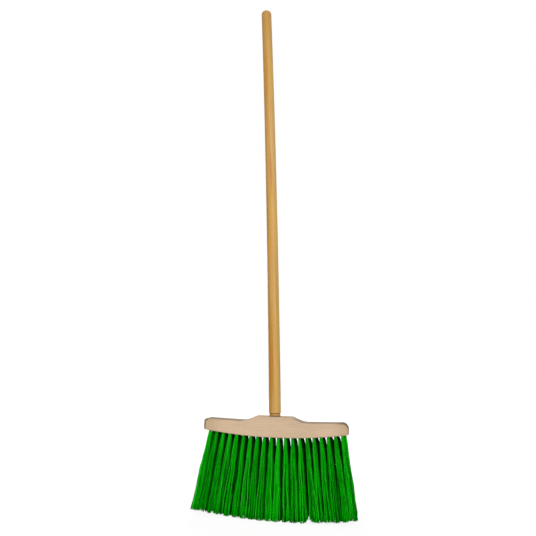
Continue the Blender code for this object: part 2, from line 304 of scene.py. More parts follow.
# Streaks that a tuft shows: the least and most pairs of a dark and a pale one, the ranges of the
# shade that the dark and the pale ones add, the range of their widths, how narrow the dark ones
# are beside the pale ones, and how quickly they grow on the way down, as the waves do
STREAK_PAIRS = (2, 3)
STREAK_SHADES = ((0.40, 0.90), (-0.35, 0.15))
STREAK_WIDTHS = (0.6, 1.4)
DARK_STREAK_WIDTH_SHARE = 0.5
STREAK_ONSET = 1.8

# Shade inside the brush, at the roots and at the tips: how far in the light reaches, and how dark
# the filaments further in are, held at 1. The columns at the head's ends have a share of that.
LIT_DEPTHS = (0.008, 0.013)
INNER_SHADES = (1.15, 0.52)
END_SHADE_SHARE = 0.6

# Deepest shade, at the roots and lower down, and how quickly it changes on the way down
DEEPEST_SHADES = (1.0, 0.90)
DEEPEST_SHADE_ONSET = 2

# Clearance between touching pieces, how far a cutter runs past what it cuts, and the angle from
# which an edge is drawn sharp
FIT_GAP = 0.0003
CUT_OVERRUN = 0.002
SHARP_ANGLE = math.radians(30)

# Places worked out from the sizes and the frame
half_length = (block_high.x - block_low.x) / 2
block_depth = block_high.y - block_low.y
underside_z = block_low.z
boss_height = block_high.z - block_low.z
arc_radius = (half_length**2 + UNDERSIDE_RISE**2) / (2 * UNDERSIDE_RISE)
last_column_angle = math.asin((half_length - LAST_HOLE_TO_END) / arc_radius)
column_angle = 2 * last_column_angle / (COLUMN_COUNT - 1)
row_pitch = 2 * OUTER_ROW_Y / (len(ROW_NAMES) - 1)
tip_half_x = column_angle * (arc_radius + BRISTLE_LENGTH) / 2
tip_half_y = row_pitch * (1 + ROW_SPLAY / OUTER_ROW_Y) / 2

# Photograph's view, fitted to the handle's edges, the block's outline and the bristle fan
CAMERA_PLACE = Vector((0.1576, -0.9964, 0.2624))
CAMERA_FORWARD = Vector((-0.1750, 0.9567, 0.2325))
CAMERA_UP = Vector((0.0179, -0.2320, 0.9725))
PICTURE_SIDE_PIXELS = 536
FOCAL_PIXELS = 467.33
SENSOR_MILLIMETRES = 36.0

# Light from all round, and lamps: degrees from straight in front towards +X, degrees up, distance,
# width, and level. At a level of 1, light renders a colour as it is written.
AMBIENT_LEVEL = 0.22
LAMP_AIM = Vector((0, 0, 0.45))
LAMPS = {
    "key": (22, 14, 2.6, 0.8, 0.56),
    "fill": (-45, 10, 2.6, 1.2, 0.29),
    "back": (192, 14, 2.8, 1.4, 0.55),
}

# Floor: its glow, which makes it look white, the glow's share near the broom, where the floor
# keeps a shadow, and the distances between which the share rises to 1
FLOOR_HALF_SIDE = 6.0
FLOOR_GREY = (0.8, 0.8, 0.8, 1.0)
FLOOR_GLOW = 1.13
FLOOR_GLOW_SHARE = 0.8
SHADOW_REACH = (0.25, 0.7)
WHITE = (1.0, 1.0, 1.0, 1.0)


def srgb(colour):
    """A colour as it looks on screen, as the linear colour that shaders take."""
    shares = [value / 255 for value in colour]
    linear = [c / 12.92 if c <= 0.04045 else ((c + 0.055) / 1.055) ** 2.4 for c in shares]
    return (*linear, 1.0)


def between(ends, share):
    """The value at a share of the way from the first end to the second."""
    return ends[0] + (ends[1] - ends[0]) * share


def add_node(tree, kind, inputs, **settings):
    """Add a node. Each input is another node's output or a constant."""
    made = tree.nodes.new(kind)
    for name, value in settings.items():
        setattr(made, name, value)
    for socket, value in inputs.items():
        if isinstance(value, bpy.types.NodeSocket):
            tree.links.new(value, made.inputs[socket])
        else:
            made.inputs[socket].default_value = value
    return made


class Finish:
    """A material, with short calls for the nodes that feed its Principled shader."""

    def __init__(self, name, constants):
        self.material = bpy.data.materials.new(name)
        self.material.use_nodes = True
        self.tree = self.material.node_tree
        self.shader = self.tree.nodes["Principled BSDF"]
        for socket, value in constants.items():
            self.shader.inputs[socket].default_value = value

    def node(self, kind, inputs, **settings):
        return add_node(self.tree, kind, inputs, **settings)

    def object_place(self):
        return self.node("ShaderNodeTexCoord", {}).outputs["Object"]

    def attribute(self, name, output):
        return self.node("ShaderNodeAttribute", {}, attribute_name=name).outputs[output]

    def vector(self, operation, *values):
        inputs = dict(enumerate(values))
        made = self.node("ShaderNodeVectorMath", inputs, operation=operation)
        return made.outputs["Value" if operation == "LENGTH" else "Vector"]

    def math(self, operation, *values):
        return self.node("ShaderNodeMath", dict(enumerate(values)), operation=operation).outputs[0]

    def parts(self, vector):
        return self.node("ShaderNodeSeparateXYZ", {0: vector}).outputs

    def noise(self, place, per_metre, detail):
        """Noise about 0.5, its grain given as cycles per metre along X, Y and Z."""
        scaled = self.vector("MULTIPLY", place, per_metre)
        inputs = {"Vector": scaled, "Scale": 1.0, "Detail": detail}
        return self.node("ShaderNodeTexNoise", inputs).outputs[0]

    def spread(self, value, low, high, to_low=0.0, to_high=1.0):
        """Carry a range of values over to another, held at its ends."""
        inputs = {0: value, 1: low, 2: high, 3: to_low, 4: to_high}
        return self.node("ShaderNodeMapRange", inputs, interpolation_type="SMOOTHSTEP").outputs[0]

    def mix(self, share, first, second):
        inputs = {0: share, 6: first, 7: second}
        return self.node("ShaderNodeMix", inputs, data_type="RGBA").outputs[2]

    def lay(self, under, pattern, colour, reach, share=1.0):
        """Lay a colour over another one, where a pattern has come into its reach.

        It grows from nothing at the reach's first value to its full share at the second.
        """
        return self.mix(self.spread(pattern, *reach, 0.0, share), under, srgb(colour))

    def rings(self, place, across, pith, spacing, warp):
        """Growth rings round a pith line, from 0 to 1. Across keeps the two axes square to it."""
        flat = self.vector("MULTIPLY", self.vector("SUBTRACT", place, pith), across)
        turns = self.math("DIVIDE", self.vector("LENGTH", flat), spacing)
        wave = self.math("SINE", self.math("MULTIPLY", self.math("ADD", turns, warp), math.tau))
        return self.math("MULTIPLY_ADD", wave, 0.5, 0.5)

    def base(self, colour):
        self.tree.links.new(colour, self.shader.inputs["Base Color"])

    def roughness(self, value):
        self.tree.links.new(value, self.shader.inputs["Roughness"])

    def bump(self, pattern, height):
        """Raise the surface by up to a height in metres, where the pattern is 1."""
        made = self.node("ShaderNodeBump", {"Height": pattern, "Distance": height})
        self.tree.links.new(made.outputs["Normal"], self.shader.inputs["Normal"])


def beech():
    """Bare planed beech: faint lengthwise grain, short dark flecks, and painted shading on its top
    and end rims.
    """
    made = Finish("beech_block", {"Specular IOR Level": 0.0})
    place = made.object_place()
    warp = made.math("MULTIPLY", made.noise(place, *BEECH_WARP_NOISE), BEECH_WARP_TURNS)
    rings = made.rings(place, (0, 1, 1), BEECH_PITH, BEECH_RING_SPACING, warp)
    fibre = made.noise(place, *BEECH_FIBRE_NOISE)
    colour = srgb(BEECH_COLOUR)
    colour = made.lay(colour, made.noise(place, *BEECH_CLOUD_NOISE), *BEECH_CLOUDS)
    colour = made.lay(colour, rings, *BEECH_RINGS)
    colour = made.lay(colour, fibre, *BEECH_FIBRES)
    colour = made.lay(colour, made.noise(place, *BEECH_FLECK_NOISE), *BEECH_FLECKS)
    along, _, height = made.parts(place)
    tint, from_end, share = BEECH_ENDS
    end_reach = [half_length - distance for distance in from_end]
    colour = made.lay(colour, made.math("ABSOLUTE", along), tint, end_reach, share)
    # Painted shading on the top faces: shade at the wings, light at the boss
    painted_top_reach = (underside_z + top_height(half_length), block_high.z)
    painted_top_colour = made.lay(srgb(WING_TOP_SHADE_COLOUR), height, BOSS_TOP_LIGHT_COLOUR, painted_top_reach)
    top, rim_shade = painted_edge_shading(made, along, height)
    colour = made.mix(made.math("MULTIPLY", top, TOP_SHADING_SHARE), colour, painted_top_colour)
    # Painted shade on the rim round the ends
    made.base(made.mix(rim_shade, colour, srgb(RIM_SHADE_COLOUR)))
    made.roughness(made.spread(fibre, *NOISE_RANGE, *BEECH_ROUGHNESS))
    outside_painted_shading = made.math("SUBTRACT", 1.0, made.math("MAXIMUM", top, rim_shade))
    made.bump(made.math("MULTIPLY", fibre, outside_painted_shading), BEECH_FIBRE_HEIGHT)
    return made.material


def painted_edge_shading(made, along, height):
    """How far a place on the block takes the painted shading of its top, and the painted shade on
    the rim round its ends.

    The front and back faces are planed and take no top shading, nor does the underside.
    """
    normal = made.node("ShaderNodeNewGeometry", {}).outputs["Normal"]
    _, across, upwards = made.parts(normal)
    off_face = made.spread(made.math("ABSOLUTE", across), *OFF_FACE_NORMAL)
    top = made.math("MULTIPLY", off_face, made.spread(upwards, *UPWARD_NORMAL))
    end_top = underside_z + top_height(half_length)
    rim_shades = []
    ends = ((-1.0, LEFT_CORNER_RADIUS, LEFT_RIM_SHADE), (1.0, RIGHT_CORNER_RADIUS, RIGHT_RIM_SHADE))
    for side, radius, (begins, full, share) in ends:
        past_x = made.math("MULTIPLY_ADD", along, side, radius - half_length)
        past_z = made.math("SUBTRACT", height, end_top - radius)
        beyond = [made.math("MAXIMUM", past, 0.0) for past in (past_x, past_z)]
        squares = [made.math("POWER", distance, 2.0) for distance in beyond]
        from_centre = made.math("SQRT", made.math("ADD", *squares))
        inwards = made.math("SUBTRACT", radius, from_centre)
        rim_shade = made.spread(inwards, begins, full, 0.0, share)
        rim_shades.append(made.math("MULTIPLY", rim_shade, made.spread(past_x, -radius, 0.0)))
    return top, made.math("MAXIMUM", *rim_shades)


def golden_wood():
    """Varnished golden wood with soft streaks along the stick, painted light and sheen on its right
    side, painted shade on its left and round the tenon.
    """
    made = Finish("golden_handle_wood", {"Specular IOR Level": 0.3, "Roughness": 0.45})
    place = made.attribute("grain_place", "Vector")
    x, y, height = made.parts(place)
    warp = made.math("MULTIPLY", made.noise(place, *GOLDEN_WARP_NOISE), GOLDEN_WARP_TURNS)
    rings = made.rings(place, (1, 1, 0), GOLDEN_PITH, GOLDEN_RING_SPACING, warp)
    streak = made.noise(place, *GOLDEN_STREAK_NOISE)
    fibre = made.noise(place, *GOLDEN_FIBRE_NOISE)
    # Painted light and sheen on the right side, painted shade on the left
    painted_light_reach = [HANDLE_DIAMETER / 2 * share for share in GOLDEN_PAINTED_LIGHT_SHARES]
    colour = made.lay(srgb(GOLDEN_SHADED_LEFT_COLOUR), x, GOLDEN_LIT_RIGHT_COLOUR, painted_light_reach)
    colour = made.lay(colour, made.noise(place, *GOLDEN_CLOUD_NOISE), *GOLDEN_CLOUDS)
    colour = made.lay(colour, rings, *GOLDEN_RINGS)
    colour = made.lay(colour, streak, *GOLDEN_DARK_STREAKS)
    colour = made.lay(colour, streak, *GOLDEN_PALE_STREAKS)
    around = made.math("ARCTAN2", x, made.math("MULTIPLY", y, -1.0))
    for angle, half_angle, middle, half_height, share, tint in HANDLE_STREAKS:
        turned = made.math("DIVIDE", made.math("SUBTRACT", around, angle), half_angle)
        risen = made.math("DIVIDE", made.math("SUBTRACT", height, middle), half_height)
        squares = [made.math("POWER", distance, 2.0) for distance in (turned, risen)]
        away = made.math("SQRT", made.math("ADD", *squares))
        colour = made.lay(colour, away, tint, HANDLE_STREAK_SHARES, share)
    # Painted shade lines: the shadow in the groove under the shoulder and the contact shadow at the
    # boss
    for middle, half_width in TENON_SHADE_LINES:
        off_line = made.math("ABSOLUTE", made.math("SUBTRACT", height, middle))
        reach = (half_width, half_width / TENON_SHADE_SOFTNESS)
        colour = made.lay(colour, off_line, TENON_SHADE_COLOUR, reach, TENON_SHADE_SHARE)
    made.base(made.lay(colour, fibre, *GOLDEN_FIBRES))
    made.bump(fibre, GOLDEN_FIBRE_HEIGHT)
    return made.material


def green_filament():
    """Extruded green plastic. Each filament has its own tone, with painted shade inside the brush
    and painted highlights on pale filaments.
    """
    made = Finish("green_filament", {"Roughness": 0.5, "Specular IOR Level": 0.05})
    tone = made.attribute("tone", "Fac")
    dark, middle, pale = GREENS
    colour = made.lay(srgb(dark), tone, middle, (0.0, MIDDLE_GREEN_TONE))
    colour = made.lay(colour, tone, pale, (MIDDLE_GREEN_TONE, 1.0))
    made.base(made.mix(made.attribute("shade", "Fac"), colour, srgb(SHADED_GREEN)))
    return made.material


def drawn_steel():
    """Plain nail steel with faint scratches."""
    made = Finish("nail_steel", {"Metallic": 1.0, "Base Color": STEEL_COLOUR})
    scratch = made.noise(made.object_place(), *SCRATCH_NOISE)
    made.roughness(made.spread(scratch, *NOISE_RANGE, *STEEL_ROUGHNESS))
    made.bump(scratch, SCRATCH_HEIGHT)
    return made.material


def new_object(name, mesh, finish=None):
    """Put a mesh in the scene, with its material if it has one."""
    added = bpy.data.objects.new(name, mesh)
    bpy.context.scene.collection.objects.link(added)
    if finish:
        mesh.materials.append(finish)
    return added


def add_rings(bm, rings, sides, place):
    """Join circles, each given as its centre and radius, into one closed skin."""
    below = None
    for centre, radius in rings:
        at = place @ Matrix.Translation(centre)
        ring = bmesh.ops.create_circle(bm, segments=sides, radius=radius, matrix=at)["verts"]
        if below:
            for corner in range(sides):
                bm.faces.new((below[corner - 1], below[corner], ring[corner], ring[corner - 1]))
        else:
            bm.faces.new(ring)
        below = ring
    bm.faces.new(below)


def solid_mesh(name, bm):
    """The mesh of a bmesh, its faces turned outwards."""
    bmesh.ops.recalc_face_normals(bm, faces=bm.faces)
    mesh = bpy.data.meshes.new(name)
    bm.to_mesh(mesh)
    bm.free()
    return mesh


def turned_mesh(name, rings, sides, places):
    """One turned body, given as its rings from end to end, at each of the places."""
    bm = bmesh.new()
    for place in places:
        add_rings(bm, rings, sides, place)
    return solid_mesh(name, bm)


def on_axis(heights_and_radii):
    """Rings round local Z."""
    return [(Vector((0, 0, height)), radius) for height, radius in heights_and_radii]


def finished(name, source, cutters, finish):
    """Cut a mesh, apply what shapes it and leave one clean object."""
    for cutter in cutters:
        cut = source.modifiers.new("cut", "BOOLEAN")
        cut.object = cutter
        cut.solver = "EXACT"
    graph = bpy.context.evaluated_depsgraph_get()
    mesh = bpy.data.meshes.new_from_object(source.evaluated_get(graph))
    mesh.name = name
    for helper in [source, *cutters]:
        bpy.data.objects.remove(helper)
    mesh.materials.clear()
    made = new_object(name, mesh, finish)
    mesh.shade_smooth()
    mesh.set_sharp_from_angle(angle=SHARP_ANGLE)
    made.modifiers.new("even_shading", "WEIGHTED_NORMAL").keep_sharp = True
    return made


def place_piece(piece, slot, *nodes):
    """Let a piece ride the broom's one body, in place of its CAD nodes. Its slot argument is not
    used.
    """
    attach(piece, "root")
    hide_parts(*nodes)


def handle_matrix():
    """The tenon's axis is local Z, and local zero is where that axis leaves the boss."""
    place = Matrix.Translation((BOSS_OFFSET, 0, block_high.z))
    return place @ Matrix.Rotation(-HANDLE_LEAN, 4, "Y")


def nail_matrix():
    """The nail lies level, from the block's back face towards the middle of the tenon's seat."""
    seat = handle_matrix() @ Vector((0, 0, -SOCKET_DEPTH / 2))
    place = Matrix.Translation((seat.x, block_high.y, seat.z))
    return place @ Matrix.Rotation(-math.pi / 2, 4, "X")


def column_matrix(column):
    """Local zero is on the block's underside, and local Z points to the centre of the arc."""
    angle = column_angle * column - last_column_angle
    centre = Matrix.Translation((0, 0, underside_z + arc_radius))
    return centre @ Matrix.Rotation(-angle, 4, "Y") @ Matrix.Translation((0, 0, -arc_radius))


def row_place(row):
    """A row's place at the underside, along and across, and its move outwards per metre down."""
    y = row_pitch * row - OUTER_ROW_Y
    shift = MIDDLE_ROW_SHIFT if row == MIDDLE_ROW else 0
    return shift, y, ROW_SPLAY * y / OUTER_ROW_Y / BRISTLE_LENGTH


def top_height(x):
    """Height of the block's top over its underside's middle: boss, hollow shoulder, then wing."""
    flat_reach = BOSS_LEFT_REACH if x < BOSS_OFFSET else BOSS_RIGHT_REACH
    past_flat = abs(x - BOSS_OFFSET) - flat_reach
    past_shoulder = past_flat - BOSS_SHOULDER_WIDTH
    if past_flat <= 0:
        return boss_height
    if past_shoulder >= 0:
        wing_end = half_length + (BOSS_OFFSET if x < BOSS_OFFSET else -BOSS_OFFSET)
        wing_length = wing_end - flat_reach - BOSS_SHOULDER_WIDTH
        return boss_height - BOSS_STEP + WING_RISE * past_shoulder / wing_length
    turn = math.pi / 2 * past_flat / BOSS_SHOULDER_WIDTH
    return boss_height - BOSS_STEP * math.sin(turn)


def block_outline():
    """The sawn outline seen from the front, anticlockwise, with its four corners still sharp."""
    half_angle = math.asin(half_length / arc_radius)
    points = []
    for step in range(ARC_STEPS + 1):
        angle = half_angle * (2 * step / ARC_STEPS - 1)
        points.append((arc_radius * math.sin(angle), arc_radius * (1 - math.cos(angle))))
    shoulder = [BOSS_SHOULDER_WIDTH * step / SHOULDER_STEPS for step in range(SHOULDER_STEPS + 1)]
    right = [BOSS_OFFSET + BOSS_RIGHT_REACH + past_flat for past_flat in reversed(shoulder)]
    left = [BOSS_OFFSET - BOSS_LEFT_REACH - past_flat for past_flat in shoulder]
    top = [half_length, *right, *left, -half_length]
    return points + [(x, top_height(x)) for x in top]


def rounded_corner(bm, x, z, radius):
    """Round the outline's corner that is nearest to a place."""
    corner = min(bm.verts, key=lambda vertex: (vertex.co.x - x) ** 2 + (vertex.co.z - z) ** 2)
    bmesh.ops.bevel(
        bm,
        geom=[corner],
        offset=radius,
        segments=CORNER_SEGMENTS,
        profile=0.5,
        affect="VERTICES",
        clamp_overlap=True,
    )


def block_mesh():
    """The block before its holes: the outline, with rounded corners, drawn back over its depth."""
    bm = bmesh.new()
    front = [bm.verts.new((x, -block_depth / 2, z)) for x, z in block_outline()]
    bm.faces.new(front)
    ends = ((-half_length, LEFT_CORNER_RADIUS), (half_length, RIGHT_CORNER_RADIUS))
    for side, top_radius in ends:
        rounded_corner(bm, side, UNDERSIDE_RISE, LOWER_CORNER_RADIUS)
        rounded_corner(bm, side, top_height(side), top_radius)
    grown = bmesh.ops.extrude_face_region(bm, geom=list(bm.faces))["geom"]
    back = [part for part in grown if isinstance(part, bmesh.types.BMVert)]
    bmesh.ops.translate(bm, vec=(0, block_depth, 0), verts=back)
    bmesh.ops.translate(bm, vec=(0, 0, underside_z), verts=bm.verts)
    return solid_mesh("block_blank", bm)


def tuft_hole_places():
    """Each hole's mouth, with local Z up the hole."""
    for column in range(COLUMN_COUNT):
        for row in range(len(ROW_NAMES)):
            x, y, splay = row_place(row)
            tilt = Matrix.Rotation(math.atan(splay), 4, "X")
            yield column_matrix(column) @ Matrix.Translation((x, y, 0)) @ tilt


def make_block():
    blank = new_object("block_blank", block_mesh())
    edge = blank.modifiers.new("edge_rounding", "BEVEL")
    edge.width = EDGE_ROUNDING
    edge.segments = EDGE_SEGMENTS
    edge.limit_method = "ANGLE"
    hole = on_axis([(-CUT_OVERRUN, HOLE_DIAMETER / 2), (HOLE_DEPTH, HOLE_DIAMETER / 2)])
    holes = turned_mesh("tuft_holes", hole, HOLE_SIDES, tuft_hole_places())
    socket_radius = TENON_DIAMETER / 2 + FIT_GAP
    socket_rings = on_axis([(-SOCKET_DEPTH, socket_radius), (CUT_OVERRUN, socket_radius)])
    socket = turned_mesh("socket", socket_rings, SOCKET_SIDES, [handle_matrix()])
    cutters = [new_object(mesh.name, mesh) for mesh in (holes, socket, nail_bore_mesh())]
    block = finished("beech_head_block", blank, cutters, beech())
    place_piece(block, "block_wood", "head_block")


def handle_centre(height):
    """Above the boss the stick bends slowly to one side."""
    return -HANDLE_BEND * (max(height, 0) / HANDLE_REACH) ** 2


def handle_rings():
    """The turned stick: tenon, shoulder with its tool mark, long barrel and domed end."""
    radius = HANDLE_DIAMETER / 2
    tenon_radius = TENON_DIAMETER / 2
    tenon_end = FIT_GAP - SOCKET_DEPTH
    groove_middle = TENON_STANDOFF - SHOULDER_GROOVE_WIDTH / 2
    rings = [
        (tenon_end, tenon_radius - TENON_CHAMFER),
        (tenon_end + TENON_CHAMFER, tenon_radius),
        (0, tenon_radius),
        (TENON_STANDOFF - SHOULDER_GROOVE_WIDTH, tenon_radius),
        (groove_middle, tenon_radius - SHOULDER_GROOVE),
        (TENON_STANDOFF, tenon_radius - SHOULDER_GROOVE / 2),
        (TENON_STANDOFF, radius - SHOULDER_ROUNDING),
    ]
    for step in range(1, SHOULDER_ROUNDING_STEPS + 1):
        angle = math.pi / 2 * step / SHOULDER_ROUNDING_STEPS
        out = radius - SHOULDER_ROUNDING * (1 - math.sin(angle))
        rings.append((TENON_STANDOFF + SHOULDER_ROUNDING * (1 - math.cos(angle)), out))
    barrel_foot = TENON_STANDOFF + SHOULDER_ROUNDING
    dome_foot = HANDLE_REACH - HANDLE_DOME
    slow, quick = TURNING_WAVES
    for step in range(1, BARREL_STEPS):
        height = barrel_foot + (dome_foot - barrel_foot) * step / BARREL_STEPS
        waves = math.sin(slow * height) * math.sin(quick * height + 1)
        dip = waves * math.sin(math.pi * step / BARREL_STEPS)
        rings.append((height, radius - TURNING_UNEVENNESS * (1 + dip) / 2))
    rings.append((dome_foot, radius))
    for step in range(1, DOME_STEPS):
        angle = math.pi / 2 * step / DOME_STEPS
        rings.append((dome_foot + HANDLE_DOME_RISE * math.sin(angle), radius * math.cos(angle)))
    return [(Vector((handle_centre(height), 0, height)), out) for height, out in rings]


def keep_grain_place(mesh, matrix):
    """Store where each point lies in the straight stick, for a grain that follows its bend."""
    back = matrix.inverted()
    attribute = mesh.attributes.new("grain_place", "FLOAT_VECTOR", "POINT")
    for vertex, kept in zip(mesh.vertices, attribute.data):
        straight = back @ vertex.co
        straight.x -= handle_centre(straight.z)
        kept.vector = straight


def make_handle():
    mesh = turned_mesh("handle_blank", handle_rings(), HANDLE_SIDES, [handle_matrix()])
    blank, cutter = new_object("handle_blank", mesh), new_object("nail_bore", nail_bore_mesh())
    handle = finished("wooden_handle", blank, [cutter], golden_wood())
    keep_grain_place(handle.data, handle_matrix())
    place_piece(handle, "handle_wood", "handle")


def nail_rings(clearance):
    """The nail along local Z, its point downwards and its head's outer face at zero.

    With a clearance, this is the bore that the nail sits in.
    """
    shank = NAIL_DIAMETER / 2 + clearance
    head = NAIL_HEAD_DIAMETER / 2 + clearance
    under_head = -NAIL_HEAD_THICKNESS - clearance
    rings = [
        (-NAIL_LENGTH - clearance, NAIL_POINT_DIAMETER / 2 + clearance),
        (-NAIL_LENGTH - clearance + NAIL_POINT_LENGTH, shank),
        (under_head, shank),
    ]
    if clearance:
        return on_axis([*rings, (under_head, head), (CUT_OVERRUN, head)])
    rings.append((under_head, head - NAIL_HEAD_DOME))
    rings.append((under_head + NAIL_HEAD_DOME, head))
    for step in range(NAIL_HEAD_STEPS):
        angle = math.pi / 2 * step / NAIL_HEAD_STEPS
        rings.append((NAIL_HEAD_DOME * (math.sin(angle) - 1), head * math.cos(angle)))
    return on_axis(rings)


def nail_bore_mesh():
    return turned_mesh("nail_bore", nail_rings(FIT_GAP), NAIL_BORE_SIDES, [nail_matrix()])


def make_nail():
    mesh = turned_mesh("nail_blank", nail_rings(0), NAIL_SIDES, [nail_matrix()])
    blank = new_object("nail_blank", mesh)
    nail = finished("steel_nail", blank, [], drawn_steel())
    place_piece(nail, "nail", "handle_nail")


def outward_side(number, count):
    """-1 for the first of a line of tufts, 1 for its last and 0 for those between."""
    return {0: -1, count - 1: 1}.get(number, 0)


def parting_side(column):
    """1 where the parting is just right of a column, -1 where it is just left, otherwise 0."""
    return {PARTING_AFTER - 1: 1, PARTING_AFTER: -1}.get(column, 0)


def parting_distance(side):
    """How far the parting's middle is at the tips from the axis of the tuft beside it."""
    return tip_half_x + side * PARTING_LEAN


def along_head(column):
    """A column's place from -1 at the head's left end to 1 at its right end."""
    return 2 * column / (COLUMN_COUNT - 1) - 1


def bristle_share(depths):
    """How far down the free bristle each depth is, from 0 at the block to 1 at the tips."""
    return np.clip(depths / BRISTLE_LENGTH, 0, 1)


def filament_roots(draw, count):
    """Evenly packed places in a unit disc, slightly shaken."""
    golden_angle = math.pi * (3 - math.sqrt(5))
    order = np.arange(count) + 0.5
    angle = order * golden_angle + draw.uniform(0, math.tau)
    out = np.sqrt(order / count)
    places = np.stack([np.cos(angle), np.sin(angle)], axis=1) * out[:, None]
    return places + draw.uniform(-ROOT_SHAKE, ROOT_SHAKE, (count, 2))


def towards_square(places):
    """Push places in a disc most of the way towards the corners of its square."""
    length = np.maximum(np.hypot(*places.T), 1e-9)
    stretch = length / np.maximum(np.abs(places).max(axis=1), 1e-9)
    return places * (1 - SQUARENESS + SQUARENESS * stretch)[:, None]


def filament_tips(draw, column, row, roots):
    """Where a tuft's filaments end, and the clump that each one belongs to."""
    reach = (tip_half_x * TIP_REACH_ALONG[row], tip_half_y * TIP_REACH_ACROSS)
    tips = towards_square(roots) * reach
    leaders = tips[draw.choice(len(tips), CLUMP_COUNT, replace=False)]
    clumps = np.argmin(np.linalg.norm(tips[:, None] - leaders[None], axis=2), axis=1)
    leaders = leaders + draw.normal(0, CLUMP_DRIFT, leaders.shape)
    tips = tips + (leaders[clumps] - tips) * draw.uniform(*CLUMP_PULL_SHARES, (len(tips), 1))
    tips = tips + draw.normal(0, STRAY_TIPS, tips.shape)
    tips[:, 0] = tips[:, 0] * draw.uniform(*TUFT_REACH_RANGE) + draw.normal(0, TUFT_LEAN)
    columns_off = abs(column - PARTING_AFTER + 0.5) - 0.5
    tips[:, 0] += PARTING_LEAN * max(1 - columns_off / PARTING_LEAN_COLUMNS, 0)
    if row == MIDDLE_ROW:
        tips[:, 0] += MIDDLE_ROW_END_LEAN * max(along_head(column), 0) ** 2
    side = parting_side(column)
    if side and row == FRONT_ROW:
        strays = np.abs(draw.normal(0, STRAY_TIPS, len(tips)))
        edge = parting_distance(side) - PARTING_HALF_WIDTH - strays
        tips[:, 0] = side * np.minimum(side * tips[:, 0], edge)
    ends = (
        (column, COLUMN_COUNT, tip_half_x, END_REACH_ALONG),
        (row, len(ROW_NAMES), tip_half_y, END_REACH_ACROSS),
    )
    for axis, (number, count, half, shares) in enumerate(ends):
        outward = outward_side(number, count)
        if outward:
            out = outward * tips[:, axis]
            tips[:, axis] *= np.where(out > 0, half * shares[outward > 0] / out.max(), 1)
    return tips, clumps


def flared_lines(column, row, roots, tips, depths):
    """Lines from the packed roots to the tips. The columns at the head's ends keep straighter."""
    down = bristle_share(depths)
    towards_end = along_head(column) ** 2
    quicker = 0 if row == FRONT_ROW else END_QUICKER_FLARE * towards_end
    power = FLARE_POWERS[row] - quicker
    share = (down**power)[None, :, None]
    hole_radius = HOLE_DIAMETER / 2 - FIT_GAP - FILAMENT_DIAMETER / 2
    packed = (roots * hole_radius * between(ROOT_PACKINGS, towards_end))[:, None]
    tips = tips[:, None]
    lines = packed * (1 - share) + tips * share
    outward = outward_side(column, COLUMN_COUNT)
    if outward:
        share = down**END_FLARE_POWER
        slower = packed[..., 0] * (1 - share) + tips[..., 0] * share
        furthest = np.maximum(outward * slower, outward * packed[..., 0])
        lines[..., 0] = outward * np.minimum(outward * lines[..., 0], furthest)
    return lines


def waved(draw, lines, clumps, depths):
    """Let each filament wave by itself and each clump as one, more and more below the block."""
    grown = np.clip(bristle_share(depths) * WAVE_ONSET, 0, 1)[None, :, None]
    for height, length, members, count in (
        (WAVE_HEIGHT, WAVE_LENGTH, np.arange(len(lines)), len(lines)),
        (CLUMP_WAVE_HEIGHT, CLUMP_WAVE_LENGTH, clumps, CLUMP_COUNT),
    ):
        phase = draw.uniform(0, math.tau, (count, 1, 2))[members]
        lengths = length * draw.uniform(*WAVE_LENGTH_SHARES, (count, 1, 1))
        pace = math.tau / lengths[members]
        lines = lines + height * grown * np.sin(depths[None, :, None] * pace + phase)
    return lines


def tip_cuts(draw, column, tips, clumps):
    """How much shorter than the bristle's length each filament is."""
    column_draw = np.random.default_rng(FILAMENT_SEED + column)
    cuts = RAGGED_TIPS * draw.beta(*RAGGED_TIP_SKEW, len(tips))
    cuts = cuts + draw.uniform(0, CLUMP_RAGGED_TIPS, CLUMP_COUNT)[clumps]
    cuts = cuts + column_draw.uniform(0, COLUMN_RAGGED_TIPS)
    cuts = cuts + TIP_SCALLOP * np.clip(np.abs(tips[:, 0]) / tip_half_x, 0, 1) ** 2
    side = parting_side(column)
    if side:
        to_parting = parting_distance(side) - side * tips[:, 0]
        cuts = cuts + PARTING_RISE * (1 - np.clip(to_parting / PARTING_REACH, 0, 1)) ** 0.5
    return cuts


def streaks(draw, across):
    """Shade of the streaks that a tuft shows: narrow dark ones with broad pale ones between."""
    pale = np.arange(2 * draw.integers(*STREAK_PAIRS, endpoint=True) + 1) % 2
    widths = draw.uniform(*STREAK_WIDTHS, len(pale)) * np.where(pale, 1, DARK_STREAK_WIDTH_SHARE)
    edges = np.quantile(across, np.cumsum(widths)[:-1] / widths.sum())
    shades = np.array([draw.uniform(*STREAK_SHADES[kind]) for kind in pale])
    return shades[np.searchsorted(edges, across)]


def filament_looks(draw, tips, clumps):
    """Each filament's tone, and the shade that it adds to that of its place in the brush."""
    tone = FILAMENT_TONE + draw.normal(0, TONE_SPREAD, len(tips))
    tone = tone + draw.normal(0, TONE_SPREAD, CLUMP_COUNT)[clumps]
    own_shade = streaks(draw, tips[:, 0])
    # Pale filaments are painted highlights: tone 1 and less shade
    pale = draw.random(len(tips)) < HIGHLIGHT_FILAMENT_SHARE
    tone[pale] = 1
    own_shade[pale] += HIGHLIGHT_FILAMENT_SHADE
    return np.clip(tone, 0, 1), own_shade


